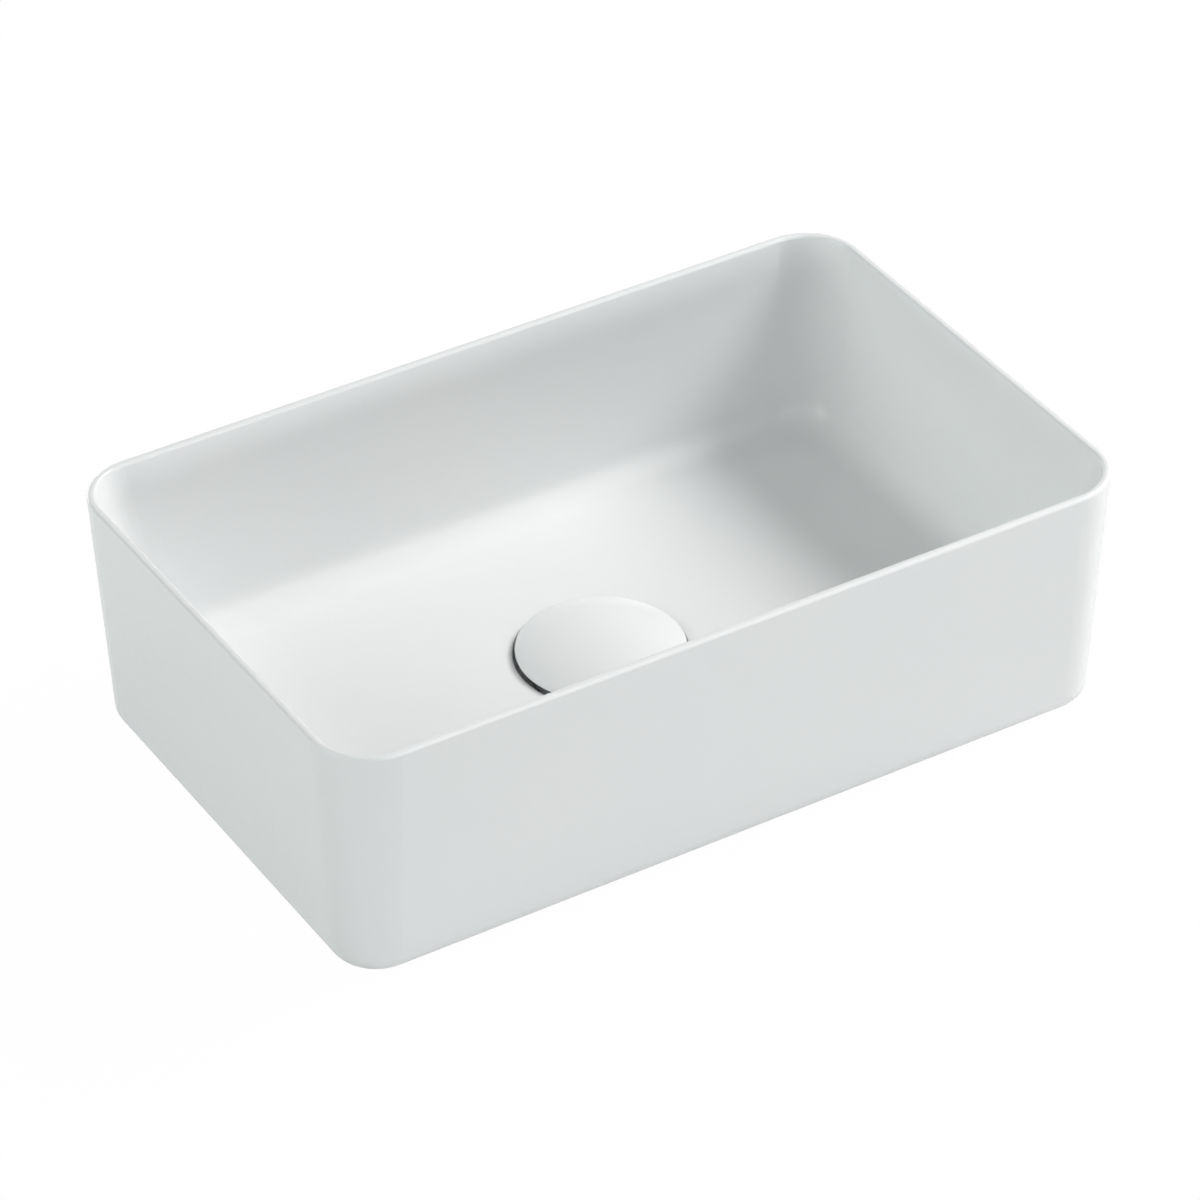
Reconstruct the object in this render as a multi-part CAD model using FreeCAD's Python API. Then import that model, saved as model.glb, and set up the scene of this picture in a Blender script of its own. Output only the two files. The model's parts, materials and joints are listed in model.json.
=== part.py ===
"""Rectangular counter-top washbasin with a push-open drain under a domed ceramic cover.

Millimetres, +Z up, X along the length, front towards -Y. The origin lies on the worktop,
under the middle of the drain. The drain stands open, with its cover at the top of its travel.
"""
import FreeCAD
import Part
import math
import os

from FreeCAD import Vector

# Basin shell
basin_length = 400.0
basin_depth = 250.0
basin_height = 122.0
wall_draft = 6.7
rim_thickness = 4.0
shell_corner_radius = 28.5
rim_edge_radius = 1.7
foot_edge_radius = 8.5
foot_width = 12.0
underside_draft = 4.0
underside_corner_radius = 14.0

# Bowl inside the shell
bowl_inset = 11.5
bowl_corner_radius = 24.0
bowl_sweep_radius = 15.0
bowl_fall = 1.5
drain_level = 27.0
floor_thickness = 10.0
dish_margin = 1.0
dish_steps = 2
edge_steps = 3

# Drain cover
cover_radius = 38.5
cover_edge_height = 2.2
cover_edge_radius = 1.4
cover_lip_chamfer = 0.8
cover_dome = 11.5
cover_rim_width = 5.5
cover_hollow_height = 4.0
cover_hollow_edge = 1.0
cover_lift = 1.0
cover_boss_radius = 11.0

# Recess, seat and hole for the drain, in the shell
recess_gap = 1.2
recess_depth = 10.5
recess_edge_radius = 0.8
recess_foot_chamfer = 2.5
seat_thickness = 8.5
drain_hole_clearance = 2.0
boss_wall = 9.5

# Waste body: flange, threaded tube and spider
thread_radius = 20.955
tube_wall = 3.0
flange_overlap = 9.5
flange_thickness = 2.4
flange_edge_chamfer = 0.9
throat_width = 4.0
throat_depth = 3.0
relief_width = 3.0
relief_depth = 1.4
thread_run_out = 2.0
tail_length = 36.0
hub_wall = 3.5
hub_height = 6.0
spider_arms = 3
spider_arm_width = 4.0

# Rings that clamp the waste body to the shell
flange_gasket_thickness = 1.5
flange_gasket_width = 9.0
under_gasket_height = 4.5
under_gasket_width = 10.0
under_gasket_lip = 3.0
slip_washer_thickness = 1.5
slip_washer_width = 9.0
lock_nut_height = 8.0
lock_nut_wall = 5.0
lock_nut_chamfer = 1.5

# Push cartridge
press_travel = 6.5
latch_rise = 1.5
press_margin = 0.6
barrel_radius = 8.0
barrel_bore_radius = 6.6
barrel_head_flats = 19.0
barrel_head_height = 4.0
fibre_washer_thickness = 1.0
fibre_washer_width = 2.2
bush_flange_thickness = 1.2
bush_flange_width = 1.8
bush_length = 3.6
plug_thickness = 2.5
plug_hole_radius = 2.0
cam_length = 13.6
cam_core_radius = 4.7
cam_leg_angle = 45.0
cam_repeats = 2
track_steps = 2
track_land = 3.6
guide_pin_radius = 1.0
spring_length = 16.7
spring_radius = 4.8
spring_wire = 0.9
spring_turns = 4

# Plunger: stem, seal and what holds the cover on it
stem_thread_radius = 4.0
stem_rod_radius = 3.5
stem_journal_radius = 3.0
stem_tip = 1.2
stem_collar_radius = 12.0
stem_collar_thickness = 2.0
seal_lift = 1.0
seal_height = 2.0
seal_bore_radius = 8.0
clamp_plate_inset = 3.0
clamp_plate_thickness = 2.0
jam_nut_flats = 13.0
jam_nut_height = 2.5
jam_nut_chamfer = 0.8
insert_radius = 7.0
insert_length = 5.6
insert_thread_depth = 5.0
thrust_washer_thickness = 1.0
clip_thickness = 0.8
clip_groove_depth = 0.6
clip_width = 1.6
clip_opening = 3.0

# Clearances
thread_fit = 0.05
running_fit = 0.05
pressed_fit = 0.02
seal_fit = 0.06
track_clearance = 0.3
cam_clearance = 0.3
stop_gap = 0.2

# Levels, from the bowl's floor down to the seat of the waste body
floor_level = drain_level + bowl_fall
underside_level = drain_level - floor_thickness
seat_level = drain_level - recess_depth
flange_bottom = seat_level + flange_gasket_thickness
flange_top = flange_bottom + flange_thickness

# Levels of the clamping rings under the seat, and of the tail
boss_bottom = seat_level - seat_thickness
under_gasket_bottom = boss_bottom - under_gasket_height
slip_washer_bottom = under_gasket_bottom - slip_washer_thickness
lock_nut_bottom = slip_washer_bottom - lock_nut_height
relief_top = lock_nut_bottom - thread_run_out
tail_top = relief_top - relief_width
tail_bottom = tail_top - tail_length

# Levels of the plunger, from the seal up to the cover
cover_bottom = drain_level + cover_lift
seal_bottom = flange_top + seal_lift
seal_top = seal_bottom + seal_height
clamp_plate_top = seal_top + clamp_plate_thickness
insert_bottom = clamp_plate_top + jam_nut_height
collar_bottom = seal_bottom - stem_collar_thickness

# Levels of the cartridge, from the stem's collar down to the plug
bush_top = collar_bottom - press_travel - press_margin
barrel_top = bush_top - bush_flange_thickness
barrel_head_bottom = barrel_top - barrel_head_height
hub_top = barrel_head_bottom - fibre_washer_thickness
hub_bottom = hub_top - hub_height
bush_bottom = barrel_top - bush_length
cam_top = bush_bottom - stop_gap
cam_bottom = cam_top - cam_length
guide_pin_level = cam_bottom + track_land
thrust_washer_top = cam_bottom - running_fit
thrust_washer_bottom = thrust_washer_top - thrust_washer_thickness
clip_bottom = thrust_washer_bottom - clip_thickness
stem_bottom = clip_bottom - stem_tip
spring_seat = thrust_washer_bottom - spring_length
barrel_bottom = spring_seat - plug_thickness

# Radii that follow from the fits
recess_radius = cover_radius + recess_gap
mouth_length = basin_length - 2 * rim_thickness
mouth_depth = basin_depth - 2 * rim_thickness
dish_radius = mouth_depth / 2 - bowl_inset - bowl_sweep_radius - dish_margin
cam_radius = barrel_bore_radius - cam_clearance
cam_bore_radius = stem_journal_radius + running_fit
hub_bore_radius = barrel_radius + thread_fit
hub_radius = hub_bore_radius + hub_wall
nut_bore_radius = thread_radius + thread_fit
tube_bore_radius = thread_radius - tube_wall
drain_hole_radius = thread_radius + drain_hole_clearance
flange_radius = drain_hole_radius + flange_overlap
track_half_width = guide_pin_radius + track_clearance

up = Vector(0, 0, 1)
overrun = 1.0


def frustum(low_length, low_depth, low, high_length, high_depth, high):
    """Block with four leaning flat sides, centred on Z."""
    block = Part.makeWedge(-low_length / 2, low, -low_depth / 2, -high_depth / 2, -high_length / 2,
                           low_length / 2, high, low_depth / 2, high_depth / 2, high_length / 2)
    block.rotate(Vector(0, 0, 0), Vector(1, 0, 0), 90)
    return block


def coned_frustum(length, depth, corner, draft, low, high):
    """Block with leaning sides and coned corners, from its size at the top and its draft down to the foot."""
    across = length - 2 * corner
    along = depth - 2 * corner
    block = frustum(length - 2 * draft, along, low, length, along, high)
    block = block.fuse(frustum(across, depth - 2 * draft, low, across, depth, high))
    for number, (side_x, side_y) in enumerate([(1, 1), (-1, 1), (-1, -1), (1, -1)]):
        cone = Part.makeCone(corner - draft, corner, high - low, Vector(0, 0, 0), up, 90)
        cone.rotate(Vector(0, 0, 0), up, 90 * number)
        cone.translate(Vector(side_x * across / 2, side_y * along / 2, low))
        block = block.fuse(cone)
    return block.removeSplitter()


def along_arc(centre, radius, start, end, steps):
    """Points of radius and level on an arc about a centre, between two angles in radians."""
    points = []
    for step in range(steps + 1):
        angle = start + (end - start) * step / steps
        points.append((centre[0] + radius * math.cos(angle), centre[1] + radius * math.sin(angle)))
    return points


def profile(points):
    """Straight edges from point to point, given as radius and level."""
    return Part.makePolygon([Vector(radius, 0, level) for radius, level in points]).Edges


def spun(edges):
    """Solid of revolution about Z, from the edges of a closed profile."""
    return Part.Face(Part.Wire(edges)).revolve(Vector(0, 0, 0), up, 360)


def turned(points):
    """Solid of revolution about Z, from the corners of a closed profile."""
    return spun(profile(points + points[:1]))


def disc(radius, bottom, top):
    return Part.makeCylinder(radius, top - bottom, Vector(0, 0, bottom))


def ring(outer, inner, bottom, top):
    return disc(outer, bottom, top).cut(disc(inner, bottom, top))


def hexagon(flats, bottom, top):
    """Six-sided prism, with its size given across the flats."""
    reach = flats / math.sqrt(3)
    corners = []
    for number in range(6):
        angle = number * math.pi / 3
        corners.append(Vector(reach * math.cos(angle), reach * math.sin(angle), bottom))
    return Part.Face(Part.makePolygon(corners + corners[:1])).extrude(up * (top - bottom))


def hexagon_nut(flats, bore, bottom, top, chamfer):
    """Hexagon with both faces turned down to a chamfer, and a plain bore."""
    reach = flats / math.sqrt(3)
    blank = turned([(0, bottom), (reach - chamfer, bottom), (reach, bottom + chamfer / 2),
                    (reach, top - chamfer / 2), (reach - chamfer, top), (0, top)])
    return hexagon(flats, bottom, top).common(blank).cut(disc(bore, bottom, top))


def edges_at(solid, level):
    """Edges of a solid that lie wholly at one level."""
    flat = []
    for edge in solid.Edges:
        box = edge.BoundBox
        if abs(box.ZMin - level) < 1e-4 and abs(box.ZMax - level) < 1e-4:
            flat.append(edge)
    return flat


def upright_edges(solid):
    """Edges of a frustum that join its two levels."""
    return [edge for edge in solid.Edges if edge.BoundBox.ZLength > overrun]


def bowl_space():
    """The room inside the bowl: leaning walls with round corners, and a sweep round the floor."""
    space = frustum(mouth_length - 2 * bowl_inset, mouth_depth - 2 * bowl_inset, floor_level,
                    mouth_length, mouth_depth, basin_height)
    space = space.makeFillet(bowl_corner_radius, upright_edges(space))
    return space.makeFillet(bowl_sweep_radius, edges_at(space, floor_level))


def underside_space():
    """The hollow inside the foot, round the boss that the drain is clamped to."""
    opening_length = basin_length - 2 * (wall_draft + foot_edge_radius + foot_width)
    opening_depth = basin_depth - 2 * (wall_draft + foot_edge_radius + foot_width)
    space = frustum(opening_length, opening_depth, 0, opening_length - 2 * underside_draft,
                    opening_depth - 2 * underside_draft, underside_level)
    space = space.makeFillet(underside_corner_radius, upright_edges(space))
    boss = disc(recess_radius + boss_wall, boss_bottom, underside_level + overrun)
    return space.cut(boss)


def drain_space():
    """Dish in the floor, lip and recess that the cover sinks into, seat of the waste body, and hole."""
    run = dish_radius - recess_radius
    bend = (run ** 2 + bowl_fall ** 2) / (2 * bowl_fall)
    slope = math.asin((run - recess_edge_radius) / (bend - recess_edge_radius))
    dish_centre = (dish_radius, floor_level - bend)
    lip_radius = recess_radius + recess_edge_radius
    lip_level = dish_centre[1] + (bend - recess_edge_radius) * math.cos(slope)
    upright = math.pi / 2
    points = along_arc(dish_centre, bend, upright, upright + slope, dish_steps)
    points += along_arc((lip_radius, lip_level), recess_edge_radius, upright + slope, math.pi, edge_steps)[1:]
    points += [
        (recess_radius, seat_level + recess_foot_chamfer), (recess_radius - recess_foot_chamfer, seat_level),
        (drain_hole_radius, seat_level), (drain_hole_radius, boss_bottom), (0, boss_bottom),
        (0, floor_level + overrun), (dish_radius, floor_level + overrun)]
    return turned(points)


def basin_shell():
    """Ceramic shell: leaning outside, bowl, thin rounded rim, and a foot with a hollow underside."""
    shell = coned_frustum(basin_length, basin_depth, shell_corner_radius, wall_draft, 0, basin_height)
    shell = shell.makeFillet(foot_edge_radius, edges_at(shell, 0))
    shell = shell.cut(bowl_space())
    shell = shell.makeFillet(rim_edge_radius, edges_at(shell, basin_height))
    shell = shell.cut(underside_space())
    return shell.cut(drain_space())


def flange_gasket():
    return ring(drain_hole_radius + flange_gasket_width, nut_bore_radius, seat_level, flange_bottom)


def waste_body():
    """Flange with a coned throat, threaded tube with a relief above its tail, and a spider with a hub."""
    throat_bottom = flange_top - throat_depth
    relief_radius = thread_radius - relief_depth
    body = turned([
        (tube_bore_radius, tail_bottom), (thread_radius, tail_bottom), (thread_radius, tail_top),
        (relief_radius, tail_top), (relief_radius, relief_top), (thread_radius, relief_top),
        (thread_radius, flange_bottom), (flange_radius, flange_bottom),
        (flange_radius, flange_top - flange_edge_chamfer), (flange_radius - flange_edge_chamfer, flange_top),
        (tube_bore_radius + throat_width, flange_top), (tube_bore_radius, throat_bottom)])
    spider = disc(hub_radius, hub_bottom, hub_top)
    for number in range(spider_arms):
        arm = Part.makeBox(tube_bore_radius + overrun, spider_arm_width, hub_height,
                           Vector(0, -spider_arm_width / 2, hub_bottom))
        arm.rotate(Vector(0, 0, 0), up, 360 / spider_arms * number)
        spider = spider.fuse(arm)
    body = body.fuse(spider)
    return body.cut(disc(hub_bore_radius, hub_bottom, hub_top)).removeSplitter()


def under_gasket():
    """Soft ring under the boss, with a coned lip that centres the tube in the hole."""
    bore = nut_bore_radius
    return turned([
        (bore, under_gasket_bottom), (bore + under_gasket_width, under_gasket_bottom),
        (bore + under_gasket_width, boss_bottom), (drain_hole_radius - running_fit, boss_bottom),
        (bore + running_fit, boss_bottom + under_gasket_lip), (bore, boss_bottom + under_gasket_lip)])


def slip_washer():
    return ring(nut_bore_radius + slip_washer_width, nut_bore_radius, slip_washer_bottom, under_gasket_bottom)


def lock_nut():
    flats = 2 * (nut_bore_radius + lock_nut_wall)
    return hexagon_nut(flats, nut_bore_radius, lock_nut_bottom, slip_washer_bottom, lock_nut_chamfer)


def fibre_washer():
    return ring(hub_bore_radius + fibre_washer_width, hub_bore_radius, hub_top, barrel_head_bottom)


def guide_pin_holes(radius):
    """Rods for the guide pins, straight out from the axis, one for each repeat of the track."""
    rods = []
    for number in range(cam_repeats):
        rod = Part.makeCylinder(radius, barrel_radius + overrun, up * guide_pin_level, Vector(1, 0, 0))
        rod.rotate(Vector(0, 0, 0), up, 360 / cam_repeats * number)
        rods.append(rod)
    return rods


def cartridge_barrel():
    """Hexagon-headed barrel that screws into the hub, open at both ends, drilled for the guide pins."""
    barrel = hexagon(barrel_head_flats, barrel_head_bottom, barrel_top)
    barrel = barrel.fuse(disc(barrel_radius, barrel_bottom, barrel_head_bottom))
    barrel = barrel.cut(disc(barrel_bore_radius, barrel_bottom, barrel_top))
    for hole in guide_pin_holes(guide_pin_radius + pressed_fit):
        barrel = barrel.cut(hole)
    return barrel


def guide_pins():
    """Pins pressed through the barrel into the cam's track, flush with the barrel's outside."""
    room = ring(barrel_radius, cam_core_radius + track_clearance, barrel_bottom, barrel_top)
    pins = [rod.common(room) for rod in guide_pin_holes(guide_pin_radius)]
    return Part.makeCompound(pins)


def guide_bush():
    """Flanged plastic bush that the stem runs in."""
    bore = stem_rod_radius + running_fit
    body = barrel_bore_radius - pressed_fit
    flange = barrel_bore_radius + bush_flange_width
    return turned([(bore, bush_bottom), (body, bush_bottom), (body, barrel_top), (flange, barrel_top),
                   (flange, bush_top), (bore, bush_top)])


def barrel_plug():
    return ring(barrel_bore_radius - pressed_fit, plug_hole_radius, barrel_bottom, spring_seat)


def milled_step(start_angle, start_rise, end_angle, end_rise):
    """One straight flat-floored cut into the sleeve, from one place on the track to the next."""
    half_turn = math.radians(end_angle - start_angle) / 2
    half_run = math.sin(half_turn) * (cam_radius + cam_core_radius) / 2
    half_rise = (end_rise - start_rise) / 2
    reach = math.hypot(half_run, half_rise) + track_half_width
    cut = Part.makeBox(cam_radius - cam_core_radius + overrun, 2 * reach, 2 * track_half_width,
                       Vector(cam_core_radius, -reach, -track_half_width))
    cut.rotate(Vector(0, 0, 0), Vector(1, 0, 0), math.degrees(math.atan2(half_rise, half_run)))
    cut.translate(up * (guide_pin_level + (start_rise + end_rise) / 2))
    cut.rotate(Vector(0, 0, 0), up, (start_angle + end_angle) / 2)
    return cut


def track_leg(start_angle, start_rise, end_angle, end_rise):
    """The cuts along one straight leg of the track."""
    turn = (end_angle - start_angle) / track_steps
    climb = (end_rise - start_rise) / track_steps
    cuts = []
    for step in range(track_steps):
        angle = start_angle + step * turn
        rise = start_rise + step * climb
        cuts.append(milled_step(angle, rise, angle + turn, rise + climb))
    return cuts


def cam_sleeve():
    """Loose sleeve on the stem, with the endless zigzag track that locks the cover down at every other press.

    Seen from a guide pin, the track climbs from the open place to full press, falls by the latch rise
    to the closed place, climbs to full press again and falls back to open. Each leg turns the sleeve alike.
    """
    sleeve = ring(cam_radius, cam_bore_radius, cam_bottom, cam_top)
    rises = [0, press_travel, press_travel - latch_rise, press_travel, 0]
    for repeat in range(cam_repeats):
        angle = 360 / cam_repeats * repeat
        for start_rise, end_rise in zip(rises, rises[1:]):
            sleeve = sleeve.cut(track_leg(angle, start_rise, angle + cam_leg_angle, end_rise))
            angle += cam_leg_angle
    return sleeve


def tangent_arc(start, direction, end):
    """Arc from a point, along a direction, to another point."""
    chord = end - start
    across = (chord - direction * chord.dot(direction)).normalize()
    radius = chord.dot(chord) / (2 * across.dot(chord))
    centre = start + across * radius
    outward = ((start + end) / 2 - centre).normalize()
    return Part.Arc(start, centre + outward * radius, end).toShape()


def coil_path(radius, pitch, turns, level):
    """Rising coil of smooth arcs, two to each quarter turn, and its points at the quarters."""
    climb = pitch / (2 * math.pi)
    places = []
    headings = []
    for quarter in range(4 * turns + 1):
        angle = quarter * math.pi / 2
        places.append(Vector(radius * math.cos(angle), radius * math.sin(angle), level + climb * angle))
        headings.append(Vector(-radius * math.sin(angle), radius * math.cos(angle), climb).normalize())
    arcs = []
    for number in range(4 * turns):
        start, end = places[number:number + 2]
        leaving, arriving = headings[number:number + 2]
        chord = end - start
        along = chord.dot(leaving + arriving)
        bend = 2 * (1 - leaving.dot(arriving))
        reach = (math.sqrt(along * along + bend * chord.dot(chord)) - along) / bend
        joint = (start + end + (leaving - arriving) * reach) / 2
        passing = (chord - (leaving + arriving) * reach).normalize()
        arcs.append(tangent_arc(start, leaving, joint))
        arcs.append(tangent_arc(joint, passing, end))
    return arcs, headings


def least_gap(arcs, turns, width):
    """Least room between the turns of a coil, measured between points along its arcs."""
    points = []
    for edge in arcs:
        points += edge.discretize(7)[:-1]
    half_turn = len(points) // (2 * turns)
    least = math.inf
    for number, point in enumerate(points):
        for other in points[number + half_turn:]:
            least = min(least, point.distanceToPoint(other))
    return least - width


def return_spring():
    """Coil spring of square wire between the plug and the thrust washer."""
    pitch = (spring_length - spring_wire - running_fit) / spring_turns
    arcs, headings = coil_path(spring_radius, pitch, spring_turns, spring_seat + spring_wire / 2)
    start = arcs[0].Vertexes[0].Point
    outward = Vector(spring_wire / 2, 0, 0)
    upward = headings[0].cross(outward)
    corners = [start + outward + upward, start - outward + upward,
               start - outward - upward, start + outward - upward]
    section = Part.makePolygon(corners + corners[:1])
    gap = least_gap(arcs, spring_turns, spring_wire * math.sqrt(2))
    print("spring's least gap to itself, mm", round(gap, 2))
    return Part.Wire(arcs).makePipeShell([section], True, False)


def stem():
    """Plunger rod: thread for the cover, spigot and collar for the seal, rod, journal and clip groove."""
    groove_radius = stem_journal_radius - clip_groove_depth
    return turned([
        (0, stem_bottom), (stem_journal_radius, stem_bottom), (stem_journal_radius, clip_bottom),
        (groove_radius, clip_bottom), (groove_radius, thrust_washer_bottom),
        (stem_journal_radius, thrust_washer_bottom), (stem_journal_radius, cam_top + running_fit),
        (stem_rod_radius, cam_top + running_fit), (stem_rod_radius, collar_bottom),
        (stem_collar_radius, collar_bottom), (stem_collar_radius, seal_bottom),
        (seal_bore_radius - running_fit, seal_bottom), (seal_bore_radius - running_fit, seal_top),
        (stem_thread_radius, seal_top), (stem_thread_radius, insert_bottom + insert_thread_depth),
        (0, insert_bottom + insert_thread_depth)])


def thrust_washer():
    return ring(spring_radius + spring_wire, stem_journal_radius + pressed_fit,
                thrust_washer_bottom, thrust_washer_top)


def stem_clip():
    """Spring clip in the stem's groove, open at one side."""
    groove_radius = stem_journal_radius - clip_groove_depth
    clip = ring(groove_radius + clip_width, groove_radius + pressed_fit, clip_bottom, thrust_washer_bottom)
    mouth = Part.makeBox(stem_journal_radius + clip_width, clip_opening, clip_thickness,
                         Vector(0, -clip_opening / 2, clip_bottom))
    return clip.cut(mouth)


def lip_seal():
    return ring(tube_bore_radius - seal_fit, seal_bore_radius, seal_bottom, seal_top)


def clamp_plate():
    return ring(tube_bore_radius - clamp_plate_inset, stem_thread_radius + thread_fit,
                seal_top, clamp_plate_top)


def jam_nut():
    return hexagon_nut(jam_nut_flats, stem_thread_radius + thread_fit, clamp_plate_top, insert_bottom,
                       jam_nut_chamfer)


def cover_insert():
    """Brass socket glued into the cover's boss, with a blind thread for the stem."""
    body = disc(insert_radius, insert_bottom, insert_bottom + insert_length)
    return body.cut(disc(stem_thread_radius + thread_fit, insert_bottom, insert_bottom + insert_thread_depth))


def drain_cover():
    """Domed ceramic cover, hollow underneath round a boss with a socket for the insert."""
    crown = cover_bottom + cover_dome
    rise = cover_dome - cover_edge_height
    bend = (cover_radius ** 2 + rise ** 2) / (2 * rise)
    centre = (0, crown - bend)
    edge_radius = cover_radius - cover_edge_radius
    edge_angle = math.acos(edge_radius / (bend - cover_edge_radius))
    edge_level = centre[1] + (bend - cover_edge_radius) * math.sin(edge_angle)
    socket = insert_radius + pressed_fit
    socket_top = insert_bottom + insert_length
    rim_inside = cover_radius - cover_rim_width
    dome = [Vector(radius, 0, level) for radius, level in along_arc(centre, bend, math.pi / 2, edge_angle, 2)]
    points = along_arc((edge_radius, edge_level), cover_edge_radius, edge_angle, 0, edge_steps)
    points += [
        (cover_radius, cover_bottom + cover_lip_chamfer), (cover_radius - cover_lip_chamfer, cover_bottom),
        (rim_inside, cover_bottom), (rim_inside, cover_bottom + cover_hollow_edge),
        (cover_boss_radius, cover_bottom + cover_hollow_height), (cover_boss_radius, insert_bottom),
        (socket, insert_bottom), (socket, socket_top), (0, socket_top), (0, crown)]
    return spun([Part.Arc(*dome).toShape()] + profile(points))


pieces = [
    basin_shell, flange_gasket, waste_body, under_gasket, slip_washer, lock_nut,
    fibre_washer, cartridge_barrel, guide_pins, guide_bush, barrel_plug, return_spring,
    stem, thrust_washer, stem_clip, lip_seal, clamp_plate, jam_nut, cover_insert, drain_cover, cam_sleeve,
]

os.makedirs("parts", exist_ok=True)
for piece in pieces:
    shape = piece()
    shape.exportStep(f"parts/{piece.__name__}.step")
    volume = round(shape.Volume / 1000, 3)
    print(piece.__name__, "solids", len(shape.Solids), "valid", shape.isValid(), "cm3", volume)
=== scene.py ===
# %% [markdown]
# A counter-top washbasin: a thin-walled bowl of white glazed ceramic, with the domed cover of a
# push-open drain. The packed solids are loaded first, as a fixed frame in metres. Everything made
# here is placed in that same frame.

# %% Load the solids
import json
import math

import bpy
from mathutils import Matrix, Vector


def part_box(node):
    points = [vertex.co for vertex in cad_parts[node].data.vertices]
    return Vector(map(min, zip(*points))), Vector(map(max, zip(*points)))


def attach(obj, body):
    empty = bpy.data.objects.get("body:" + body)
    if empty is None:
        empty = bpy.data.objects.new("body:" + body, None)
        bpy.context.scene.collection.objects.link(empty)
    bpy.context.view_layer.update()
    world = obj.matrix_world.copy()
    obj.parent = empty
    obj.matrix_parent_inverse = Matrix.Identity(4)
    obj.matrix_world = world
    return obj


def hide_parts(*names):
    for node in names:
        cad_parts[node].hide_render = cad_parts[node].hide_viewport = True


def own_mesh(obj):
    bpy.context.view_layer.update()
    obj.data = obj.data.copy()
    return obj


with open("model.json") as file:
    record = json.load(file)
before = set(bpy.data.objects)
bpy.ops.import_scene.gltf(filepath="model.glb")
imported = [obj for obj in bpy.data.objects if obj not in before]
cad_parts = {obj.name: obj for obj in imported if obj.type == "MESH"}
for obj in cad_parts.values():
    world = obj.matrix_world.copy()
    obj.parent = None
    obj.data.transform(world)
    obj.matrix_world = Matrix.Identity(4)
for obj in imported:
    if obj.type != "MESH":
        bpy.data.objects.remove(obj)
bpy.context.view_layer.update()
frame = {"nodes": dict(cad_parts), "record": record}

# %% [markdown]
# A finish is a tree of shader nodes. Written node by node, a sum of two textures takes ten lines
# and hides its own meaning. So one small class holds a socket, and its plus, minus, times and
# divide add the Math nodes. A finish then reads like the sentence that describes it. Every other
# kind of node comes from the method called node.


# %% A socket that can be added, multiplied and fed onwards
class Wire:
    def __init__(self, tree, socket=None):
        self.tree = tree
        self.socket = socket

    def node(self, kind, settings, sockets, output=0):
        made = self.tree.nodes.new(kind)
        for name, value in settings.items():
            setattr(made, name, value)
        for name, value in sockets.items():
            if isinstance(value, Wire):
                self.tree.links.new(value.socket, made.inputs[name])
            else:
                made.inputs[name].default_value = value
        return Wire(self.tree, made.outputs[output])

    def maths(self, operation, first, second=0.0):
        return self.node("ShaderNodeMath", {"operation": operation}, {0: first, 1: second})

    def __add__(self, other):
        return self.maths("ADD", self, other)

    def __radd__(self, other):
        return self.maths("ADD", other, self)

    def __sub__(self, other):
        return self.maths("SUBTRACT", self, other)

    def __rsub__(self, other):
        return self.maths("SUBTRACT", other, self)

    def __mul__(self, other):
        return self.maths("MULTIPLY", self, other)

    def __rmul__(self, other):
        return self.maths("MULTIPLY", other, self)

    def __truediv__(self, other):
        return self.maths("DIVIDE", self, other)

    def __rtruediv__(self, other):
        return self.maths("DIVIDE", other, self)


operators = [name for name in vars(Wire) if name.startswith("__") and name != "__init__"]
print("operators on sockets:", operators)

# %% [markdown]
# All the finishes start alike: a Principled shader, and Object coordinates in metres, which stay
# fixed to the piece. The helpers below give the few patterns that potters' and turners' work
# shows: soft clouds of noise, an even step between two levels, rings left by a lathe, and a mix
# of two colours.

# %% Start a finish, and the patterns that finishes share
finishes = {}


def start_finish(name):
    finish = bpy.data.materials.new(name)
    finish.use_nodes = True
    finishes[name] = finish
    tree = finish.node_tree
    place = Wire(tree).node("ShaderNodeTexCoord", {}, {}, "Object")
    return tree.nodes["Principled BSDF"], place


def feed(shader, **wires):
    tree = shader.id_data
    for name, wire in wires.items():
        tree.links.new(wire.socket, shader.inputs[name.replace("_", " ").title()])


def cloud(place, scale, detail=2.0, stretch=(1, 1, 1)):
    spread = place.node("ShaderNodeVectorMath", {"operation": "MULTIPLY"}, {0: place, 1: stretch})
    return place.node("ShaderNodeTexNoise", {},
                      {"Vector": spread, "Scale": scale, "Detail": detail}, "Fac")


def step(wire, low, high):
    return wire.node("ShaderNodeMapRange", {"interpolation_type": "SMOOTHSTEP"},
                     {"Value": wire, "From Min": low, "From Max": high})


def between(share, first, second):
    ends = [end if isinstance(end, Wire) else (*end, 1.0) for end in (first, second)]
    return share.node("ShaderNodeMix", {"data_type": "RGBA"}, {0: share, 6: ends[0], 7: ends[1]}, 2)


def axis_parts(place):
    made = place.node("ShaderNodeSeparateXYZ", {}, {0: place})
    outputs = made.socket.node.outputs
    return [Wire(place.tree, outputs[name]) for name in ("X", "Y", "Z")]


def round_axis(place):
    flat = place.node("ShaderNodeVectorMath", {"operation": "MULTIPLY"}, {0: place, 1: (1, 1, 0)})
    return place.node("ShaderNodeVectorMath", {"operation": "LENGTH"}, {0: flat}, "Value")


def lathe_rings(distance, per_metre):
    return distance.maths("SINE", distance * per_metre)


def bump(height, depth):
    return height.node("ShaderNodeBump", {},
                       {"Height": height, "Distance": depth, "Strength": 1.0})


print("patterns ready")

# %% [markdown]
# The glaze is a white enamel fired onto clay. It is never quite flat: it flows a little while it
# melts, which leaves a slow waviness that only the reflections show, and a few pinholes. It stops
# short of the foot, which is ground flat and stays bare, warm clay, and so does the hollow
# underside. A plain white with one roughness would look like plastic, so the colour, the gloss
# and the surface all vary, each by very little.

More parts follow.
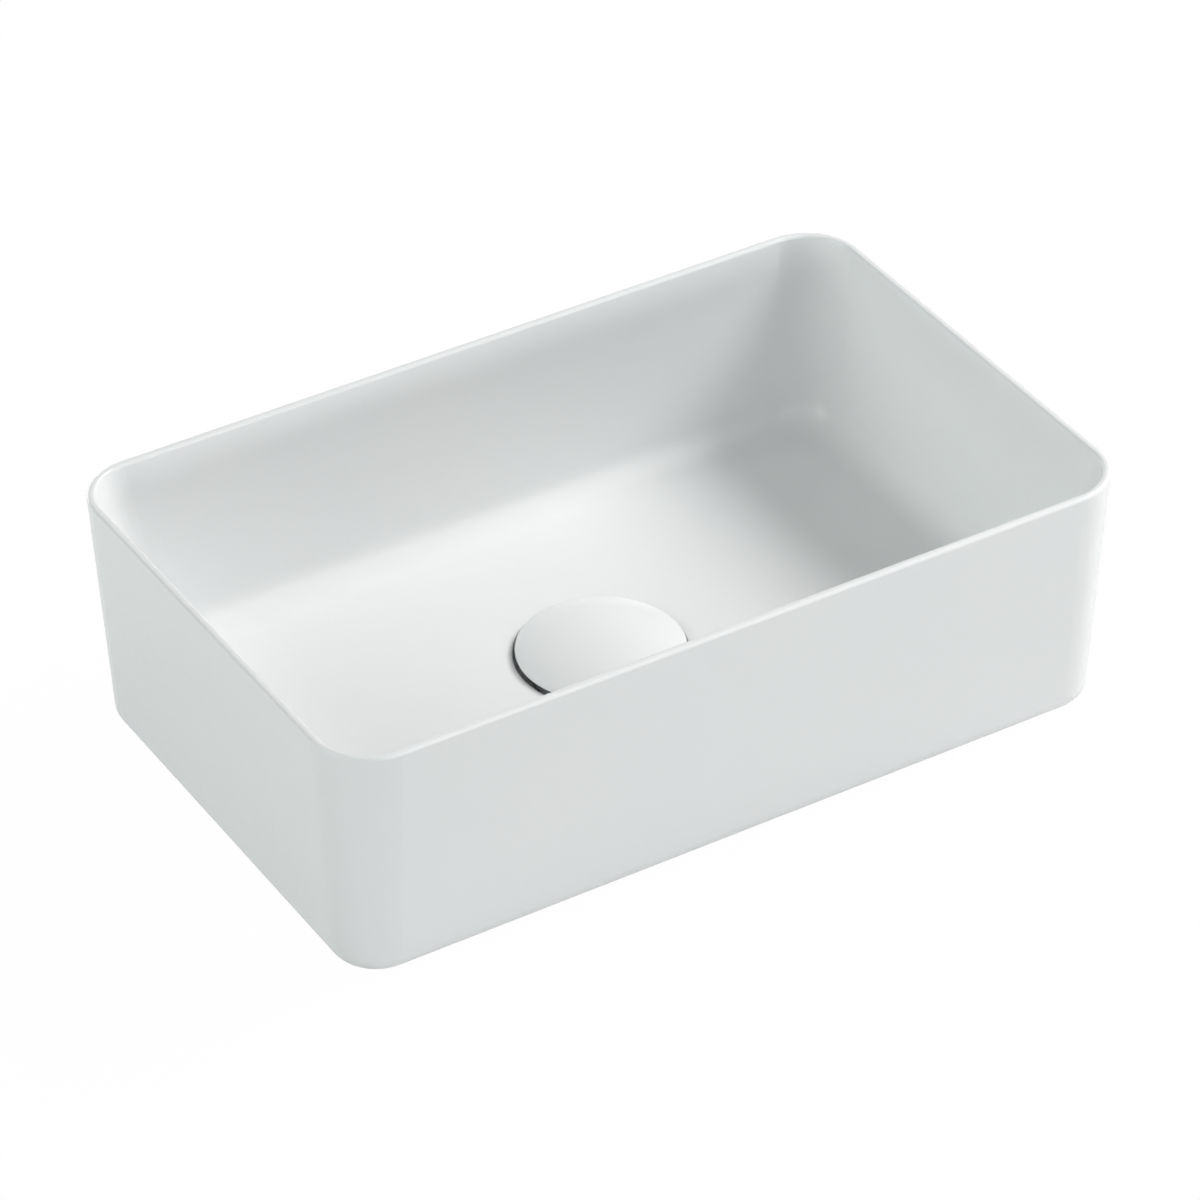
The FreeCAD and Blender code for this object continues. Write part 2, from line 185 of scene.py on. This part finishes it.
# %% White glaze, with bare clay on the foot and the underside
glaze_whites = (0.864, 0.880, 0.884), (0.880, 0.888, 0.888)
clay_browns = (0.62, 0.56, 0.48), (0.74, 0.69, 0.61)
pinhole_grey = (0.55, 0.54, 0.52)
clay_roughness = 0.85
ceramic_ior = 1.5


def white_glaze():
    shader, place = start_finish("white_glaze")
    up = axis_parts(place)[2]
    facing = axis_parts(place.node("ShaderNodeNewGeometry", {}, {}, "Normal"))[2]
    underneath = 1 - step(up, low=0.0178, high=0.0186)
    downward = 1 - step(facing, low=-0.985, high=-0.93)
    bare = underneath * downward
    tint = between(cloud(place, scale=14), *glaze_whites)
    pinholes = step(cloud(place, scale=1500, detail=0), low=0.785, high=0.80)
    clay = between(cloud(place, scale=900, detail=4), *clay_browns)
    spotted = between(pinholes * 0.12, tint, pinhole_grey)
    gloss = 0.22 + cloud(place, scale=40) * 0.06 + pinholes * 0.2
    waviness = cloud(place, scale=34, detail=1) * (1 - bare)
    grain = cloud(place, scale=2600, detail=3) * bare * 0.5
    feed(shader, base_color=between(bare, spotted, clay),
         roughness=gloss * (1 - bare) + bare * clay_roughness,
         normal=bump(waviness + grain, depth=0.00008))
    shader.inputs["IOR"].default_value = ceramic_ior


white_glaze()
print("finish", list(finishes)[-1])

# %% [markdown]
# The waste body is cast and turned brass with a chrome plate. Chrome copies what surrounds it, so
# its look lies in the roughness: nearly none, with faint lathe rings and dried drops of water.
# The tail carries a pipe thread. Its groove is drawn as a bump that climbs one pitch for each
# turn, with the angle round the axis from an arctangent.

# %% Bright chrome with a pipe thread on the tail
thread_pitch = 0.002309
thread_depth = 0.0011


def helix_groove(place, pitch):
    along, across, up = axis_parts(place)
    angle = place.maths("ARCTAN2", across, along) / (2 * math.pi)
    turn = place.maths("FRACT", up / pitch - angle)
    return place.maths("ABSOLUTE", turn * 2 - 1)


def bright_chrome():
    shader, place = start_finish("bright_chrome")
    up = axis_parts(place)[2]
    outside = step(round_axis(place), low=0.0206, high=0.0208)
    under_flange = 1 - step(up, low=-0.0032, high=-0.0028)
    over_end = step(up, low=-0.0468, high=-0.0462)
    groove = helix_groove(place, thread_pitch) * (outside * under_flange * over_end)
    drops = step(cloud(place, scale=260, detail=1), low=0.60, high=0.66)
    rings = lathe_rings(up, per_metre=9000)
    feed(shader, base_color=between(cloud(place, scale=60), (0.76, 0.77, 0.79), (0.82, 0.82, 0.82)),
         roughness=0.07 + drops * 0.14 + groove * 0.08,
         normal=bump(groove + rings * 0.004, depth=thread_depth))
    shader.inputs["Metallic"].default_value = 1.0


bright_chrome()
print("finish", list(finishes)[-1], "thread pitch", thread_pitch)

# %% [markdown]
# The lock nut, cartridge and stem are turned brass that water has dulled. The lathe leaves rings
# on the ends, which follow the distance from the axis, and on the sides, which follow the height.
# Patches of tarnish darken it.

# %% Turned, dull brass
def turned_brass():
    shader, place = start_finish("turned_brass")
    up = axis_parts(place)[2]
    rings = lathe_rings(round_axis(place), per_metre=14000) + lathe_rings(up, per_metre=11000)
    tarnish = step(cloud(place, scale=90, detail=4), low=0.42, high=0.66)
    feed(shader, base_color=between(tarnish, (0.80, 0.60, 0.29), (0.60, 0.42, 0.19)),
         roughness=0.26 + tarnish * 0.2 + rings * 0.02, normal=bump(rings, depth=0.00002))
    shader.inputs["Metallic"].default_value = 1.0


turned_brass()
print("finish", list(finishes)[-1])

# %% [markdown]
# The clamp plate, the pins, the clip and the spring are plain stainless steel. Rolled sheet and
# drawn wire keep fine scratches along one direction, so the noise that drives the roughness is
# stretched along X.

# %% Plain stainless steel
def plain_steel():
    shader, place = start_finish("plain_steel")
    scratches = cloud(place, scale=700, detail=3, stretch=(0.06, 1, 1))
    feed(shader, base_color=between(scratches, (0.56, 0.56, 0.57), (0.68, 0.68, 0.68)),
         roughness=0.22 + scratches * 0.22, normal=bump(scratches, depth=0.00002))
    shader.inputs["Metallic"].default_value = 1.0


plain_steel()
print("finish", list(finishes)[-1])

# %% [markdown]
# The seals are moulded black rubber, matt with a pale bloom where the sulphur comes out. The slip
# washer, the bush and the cam sleeve are moulded plastics, with soft flow marks. The fibre washer
# is pressed from long fibres, which show as streaks.

# %% Rubber, two plastics and pressed fibre
def seal_rubber():
    shader, place = start_finish("seal_rubber")
    bloom = step(cloud(place, scale=120, detail=4), low=0.45, high=0.75)
    feed(shader, base_color=between(bloom, (0.022, 0.022, 0.023), (0.055, 0.054, 0.052)),
         roughness=0.58 + bloom * 0.24,
         normal=bump(cloud(place, scale=3000, detail=2), depth=0.00003))


def moulded_plastic(name, first, second, gloss):
    shader, place = start_finish(name)
    flow = cloud(place, scale=110, detail=3, stretch=(1, 1, 0.3))
    feed(shader, base_color=between(flow, first, second), roughness=gloss + flow * 0.12,
         normal=bump(cloud(place, scale=1800, detail=2), depth=0.00002))


def pressed_fibre():
    shader, place = start_finish("pressed_fibre")
    fibres = cloud(place, scale=900, detail=4, stretch=(1, 0.12, 1))
    feed(shader, base_color=between(fibres, (0.40, 0.13, 0.08), (0.60, 0.26, 0.17)),
         roughness=0.66 + fibres * 0.2, normal=bump(fibres, depth=0.00005))


seal_rubber()
moulded_plastic("washer_nylon", (0.80, 0.79, 0.74), (0.86, 0.85, 0.81), gloss=0.42)
moulded_plastic("bush_acetal", (0.86, 0.86, 0.84), (0.91, 0.91, 0.89), gloss=0.24)
pressed_fibre()
print("finishes", sorted(finishes))

# %% [markdown]
# Each solid carries the name of its material slot. The plain colour that came with it is
# exchanged for the finish made above, and the mesh itself isn't touched.

# %% Dress the solids
finish_of_slot = {
    "glaze": "white_glaze", "chromed_brass": "bright_chrome", "brass": "turned_brass",
    "steel": "plain_steel", "rubber": "seal_rubber", "nylon": "washer_nylon",
    "acetal": "bush_acetal", "fibre": "pressed_fibre",
}
slot_of_node = {part["node"]: part["material_slot"] for part in frame["record"]["subparts"]}
for node, solid in frame["nodes"].items():
    for slot in solid.material_slots:
        slot.material = finishes[finish_of_slot[slot_of_node[node]]]
print("dressed", len(slot_of_node), "solids")

# %% [markdown]
# The cover is a shallow dome of the same glazed ceramic. Glaze rounds every edge that it runs
# over, and the edge of the dome catches the light, so the cover is worth a finer mesh than the
# solid has. It is made as a potter would turn it: one circle at the socket underneath, drawn out
# ring by ring, over the lip and the edge, up the dome and closed at the crown. A sphere cut flat
# would be quicker, but has no lip and no hollow.

# %% Turn a piece ring by ring from one circle
ring_points = 128
weld_distance = 0.000001


def turn_rings(name, rings):
    bpy.ops.object.select_all(action="DESELECT")
    radius, level = rings[0]
    bpy.ops.mesh.primitive_circle_add(vertices=ring_points, radius=radius, fill_type="NGON",
                                      location=(0, 0, level))
    piece = bpy.context.object
    piece.name = name
    bpy.ops.object.transform_apply(location=True)
    bpy.ops.object.mode_set(mode="EDIT")
    bpy.ops.mesh.select_mode(type="EDGE")
    bpy.ops.mesh.select_all(action="SELECT")
    for next_radius, next_level in rings[1:]:
        climb = (0, 0, next_level - level)
        bpy.ops.mesh.extrude_edges_move(TRANSFORM_OT_translate={"value": climb})
        share = next_radius / radius
        bpy.ops.transform.resize(value=(share, share, 1), center_override=(0, 0, next_level))
        radius, level = next_radius, next_level
    bpy.ops.mesh.merge(type="CENTER")
    bpy.ops.mesh.select_all(action="SELECT")
    bpy.ops.mesh.remove_doubles(threshold=weld_distance)
    bpy.ops.mesh.normals_make_consistent(inside=False)
    bpy.ops.object.mode_set(mode="OBJECT")
    return piece


print("the turning helper closes the last ring at the middle")

# %% The cover's section, from the socket to the crown
glaze_layer = 0.0003
cover_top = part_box("drain_cover")[1]
cover_radius = cover_top[0] + glaze_layer
crown = cover_top[2]
insert_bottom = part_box("cover_insert")[0][2]
socket_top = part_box("cover_insert")[1][2]
cover_bottom = insert_bottom + 0.0001
socket_radius = 0.00702
boss_radius = 0.011
hollow_middle = cover_bottom + 0.004
hollow_side = cover_bottom + 0.001
rim_inside = cover_radius - 0.0055
rim_chamfer = 0.0008
edge_radius = 0.0014
edge_height = 0.0022
edge_steps = 8
dome_steps = 24
crown_ring = 0.0004

rise = crown - cover_bottom - edge_height
dome_radius = (cover_radius ** 2 + rise ** 2) / (2 * rise)
dome_middle = crown - dome_radius
edge_angle = math.acos((cover_radius - edge_radius) / (dome_radius - edge_radius))
edge_middle = dome_middle + (dome_radius - edge_radius) * math.sin(edge_angle)
section = [
    (socket_radius, socket_top), (socket_radius, insert_bottom),
    (boss_radius, insert_bottom), (boss_radius, hollow_middle),
    (rim_inside, hollow_side), (rim_inside, cover_bottom),
    (cover_radius - rim_chamfer, cover_bottom), (cover_radius, cover_bottom + rim_chamfer),
]
for count in range(edge_steps + 1):
    angle = edge_angle * count / edge_steps
    section.append((cover_radius - edge_radius + edge_radius * math.cos(angle),
                    edge_middle + edge_radius * math.sin(angle)))
for count in range(1, dome_steps):
    angle = edge_angle + (math.pi / 2 - edge_angle) * count / dome_steps
    section.append((dome_radius * math.cos(angle), dome_middle + dome_radius * math.sin(angle)))
section.append((crown_ring, crown))
print("rings", len(section), "dome radius", round(dome_radius, 4))

# %% The cover itself, with softened edges
cover = turn_rings("domed_cover", section)
soften = cover.modifiers.new("soften", "BEVEL")
soften.width = 0.0003
soften.segments = 2
soften.limit_method = "ANGLE"
soften.angle_limit = math.radians(28)
bpy.ops.object.modifier_apply(modifier=soften.name)
bpy.ops.object.shade_smooth_by_angle(angle=math.radians(32))
cover.data.materials.append(finishes["white_glaze"])
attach(cover, "plunger")
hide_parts("drain_cover")
print("cover faces", len(cover.data.polygons))

# %% [markdown]
# The return spring is shut inside the cartridge, but it is the one piece that changes shape: each
# press shortens it. It is wound here from round wire, a small circle carried round the axis while
# it climbs. The solid can't shorten, and the washer above would run through it.

# %% The return spring, wound from one circle
spring_low, spring_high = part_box("return_spring")
coil_radius = 0.0048
wire_radius = 0.00045
wire_points = 12
spring_turns = 4
steps_per_turn = 40
bpy.ops.object.select_all(action="DESELECT")
bpy.ops.mesh.primitive_circle_add(vertices=wire_points, radius=wire_radius, fill_type="NOTHING",
                                  rotation=(math.pi / 2, 0, 0),
                                  location=(coil_radius, 0, spring_low[2] + wire_radius))
spring = bpy.context.object
spring.name = "wound_spring"
bpy.ops.object.transform_apply(location=True, rotation=True)
wind = spring.modifiers.new("wind", "SCREW")
wind.iterations = spring_turns
wind.screw_offset = (spring_high[2] - spring_low[2] - 2 * wire_radius) / spring_turns
wind.steps = steps_per_turn
wind.render_steps = steps_per_turn
bpy.ops.object.modifier_apply(modifier=wind.name)
bpy.ops.object.mode_set(mode="EDIT")
bpy.ops.mesh.select_all(action="SELECT")
bpy.ops.mesh.fill_holes(sides=0)
bpy.ops.mesh.normals_make_consistent(inside=False)
bpy.ops.object.mode_set(mode="OBJECT")
bpy.ops.object.shade_smooth_by_angle(angle=math.radians(40))
spring.data.materials.append(finishes["plain_steel"])
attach(spring, "basin")
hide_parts("return_spring")
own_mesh(spring)

# %% [markdown]
# The basin stands on a worktop that fills the picture. The tail of the waste goes through it, so
# the floor is a wide ring with a round hole, drawn out from a circle. Seen by the camera and in
# reflections it glows almost white by itself, which keeps the background even. The rest is grey
# paint: the basin still lays a faint shadow on it, and little light is thrown back at the basin.

# %% The worktop
hole_radius = 0.034
ring_shares = (6, 40)
bpy.ops.object.select_all(action="DESELECT")
bpy.ops.mesh.primitive_circle_add(vertices=64, radius=hole_radius, fill_type="NOTHING",
                                  location=(0, 0, 0))
worktop = bpy.context.object
worktop.name = "worktop"
bpy.ops.object.mode_set(mode="EDIT")
bpy.ops.mesh.select_all(action="SELECT")
for share in ring_shares:
    bpy.ops.mesh.extrude_edges_move(TRANSFORM_OT_translate={"value": (0, 0, 0)})
    bpy.ops.transform.resize(value=(share, share, 1), center_override=(0, 0, 0))
bpy.ops.mesh.select_all(action="SELECT")
bpy.ops.mesh.normals_make_consistent(inside=False)
bpy.ops.object.mode_set(mode="OBJECT")
print("worktop reaches", round(worktop.dimensions.x / 2, 2), "m")

# %% White to the camera, paint to the light
glossy_share = 0.65
glow_share = 0.97
glow_strength = 1.012
paint_grey = (0.58, 0.58, 0.58, 1.0)
full_white = (1.0, 1.0, 1.0, 1.0)


def seen_directly(wire):
    path = wire.node("ShaderNodeLightPath", {}, {}).socket.node.outputs
    camera_ray, glossy_ray, transmission_ray = [
        Wire(wire.tree, path[name])
        for name in ("Is Camera Ray", "Is Glossy Ray", "Is Transmission Ray")]
    return wire.node("ShaderNodeMath", {"operation": "ADD", "use_clamp": True},
                     {0: camera_ray + glossy_ray * glossy_share, 1: transmission_ray})


def worktop_white():
    shader, place = start_finish("worktop_white")
    shader.inputs["Base Color"].default_value = paint_grey
    shader.inputs["Roughness"].default_value = 0.9
    glow = place.node("ShaderNodeEmission", {}, {"Color": full_white, "Strength": glow_strength})
    painted = Wire(place.tree, shader.outputs["BSDF"])
    mixed = place.node("ShaderNodeMixShader", {},
                       {0: seen_directly(place) * glow_share, 1: painted, 2: glow})
    place.tree.links.new(mixed.socket, place.tree.nodes["Material Output"].inputs["Surface"])


worktop_white()
worktop.data.materials.append(finishes["worktop_white"])
print("finish", list(finishes)[-1])

# %% [markdown]
# The light is that of a plain white studio: a soft box to the right and above, two weaker ones to
# the left and in front, and two low strips, before and behind. The strips stand low, so they light
# mostly the outside, which leaves the inside to the boxes and to the light that the floor of the
# bowl throws back. The height of the right box shows in the shadow that the right wall lays on
# that floor, and its size in how slowly the shadow fades. A single sun would cut a hard line
# there, and an evenly lit room would lay no shadow at all.

# %% White behind everything
world = bpy.data.worlds.new("white_studio")
world.use_nodes = True
bpy.context.scene.world = world
backdrop = world.node_tree.nodes["Background"]
backdrop.inputs["Color"].default_value = full_white
backdrop_seen = seen_directly(Wire(world.node_tree))
world.node_tree.links.new(backdrop_seen.socket, backdrop.inputs["Strength"])
print("the backdrop is white to the camera and in reflections, and gives no diffuse light")

# %% Soft boxes and strips
square_box = (1.3, 1.3)
wide_box = (2.2, 2.9)
low_strip = (0.3, 2.9)
warm_tint = (1.0, 0.985, 0.98)
green_tint = (0.955, 1.0, 0.985)
cool_tint = (0.98, 1.0, 1.0)


def soft_box(name, side, elevation, reach, size, power, tint):
    lamp = bpy.data.lights.new(name, "AREA")
    lamp.shape = "ELLIPSE"
    lamp.size, lamp.size_y = size
    lamp.energy = power
    lamp.color = tint
    stand = bpy.data.objects.new(name, lamp)
    bpy.context.scene.collection.objects.link(stand)
    turn, lift = math.radians(side), math.radians(elevation)
    along = reach * math.cos(lift)
    stand.location = (along * math.cos(turn), along * math.sin(turn), reach * math.sin(lift))
    stand.rotation_euler = (0, math.pi / 2 - lift, turn)
    stand.visible_camera = False
    print(name, "at", [round(value, 2) for value in stand.location])


soft_box("right_box", side=-3.5, elevation=41.5, reach=3.0, size=square_box, power=76,
         tint=warm_tint)
soft_box("left_box", side=168, elevation=29, reach=2.8, size=wide_box, power=42.5, tint=green_tint)
soft_box("front_box", side=-70, elevation=40, reach=2.8, size=wide_box, power=18, tint=cool_tint)
soft_box("front_strip", side=-89, elevation=3.5, reach=2.8, size=low_strip, power=25.5,
         tint=cool_tint)
soft_box("back_strip", side=100, elevation=3.5, reach=2.8, size=low_strip, power=26, tint=cool_tint)
bpy.context.scene.view_settings.view_transform = "Standard"

# %% [markdown]
# The camera stands far off with a long lens, above the front left corner, so the sides stay nearly
# parallel. Its place and turn were found by fitting the rim and the foot of the model to their
# outlines.

# %% Camera
lens = bpy.data.cameras.new("long_lens")
lens.sensor_width = 36
lens.lens = 178.70
camera = bpy.data.objects.new("long_lens", lens)
bpy.context.scene.collection.objects.link(camera)
camera.location = (-1.10945, -1.83384, 1.62390)
camera.rotation_euler = [math.radians(angle) for angle in (53.8153, 0.3923, -31.4512)]
bpy.context.scene.camera = camera
print("camera", [round(value, 3) for value in camera.location])
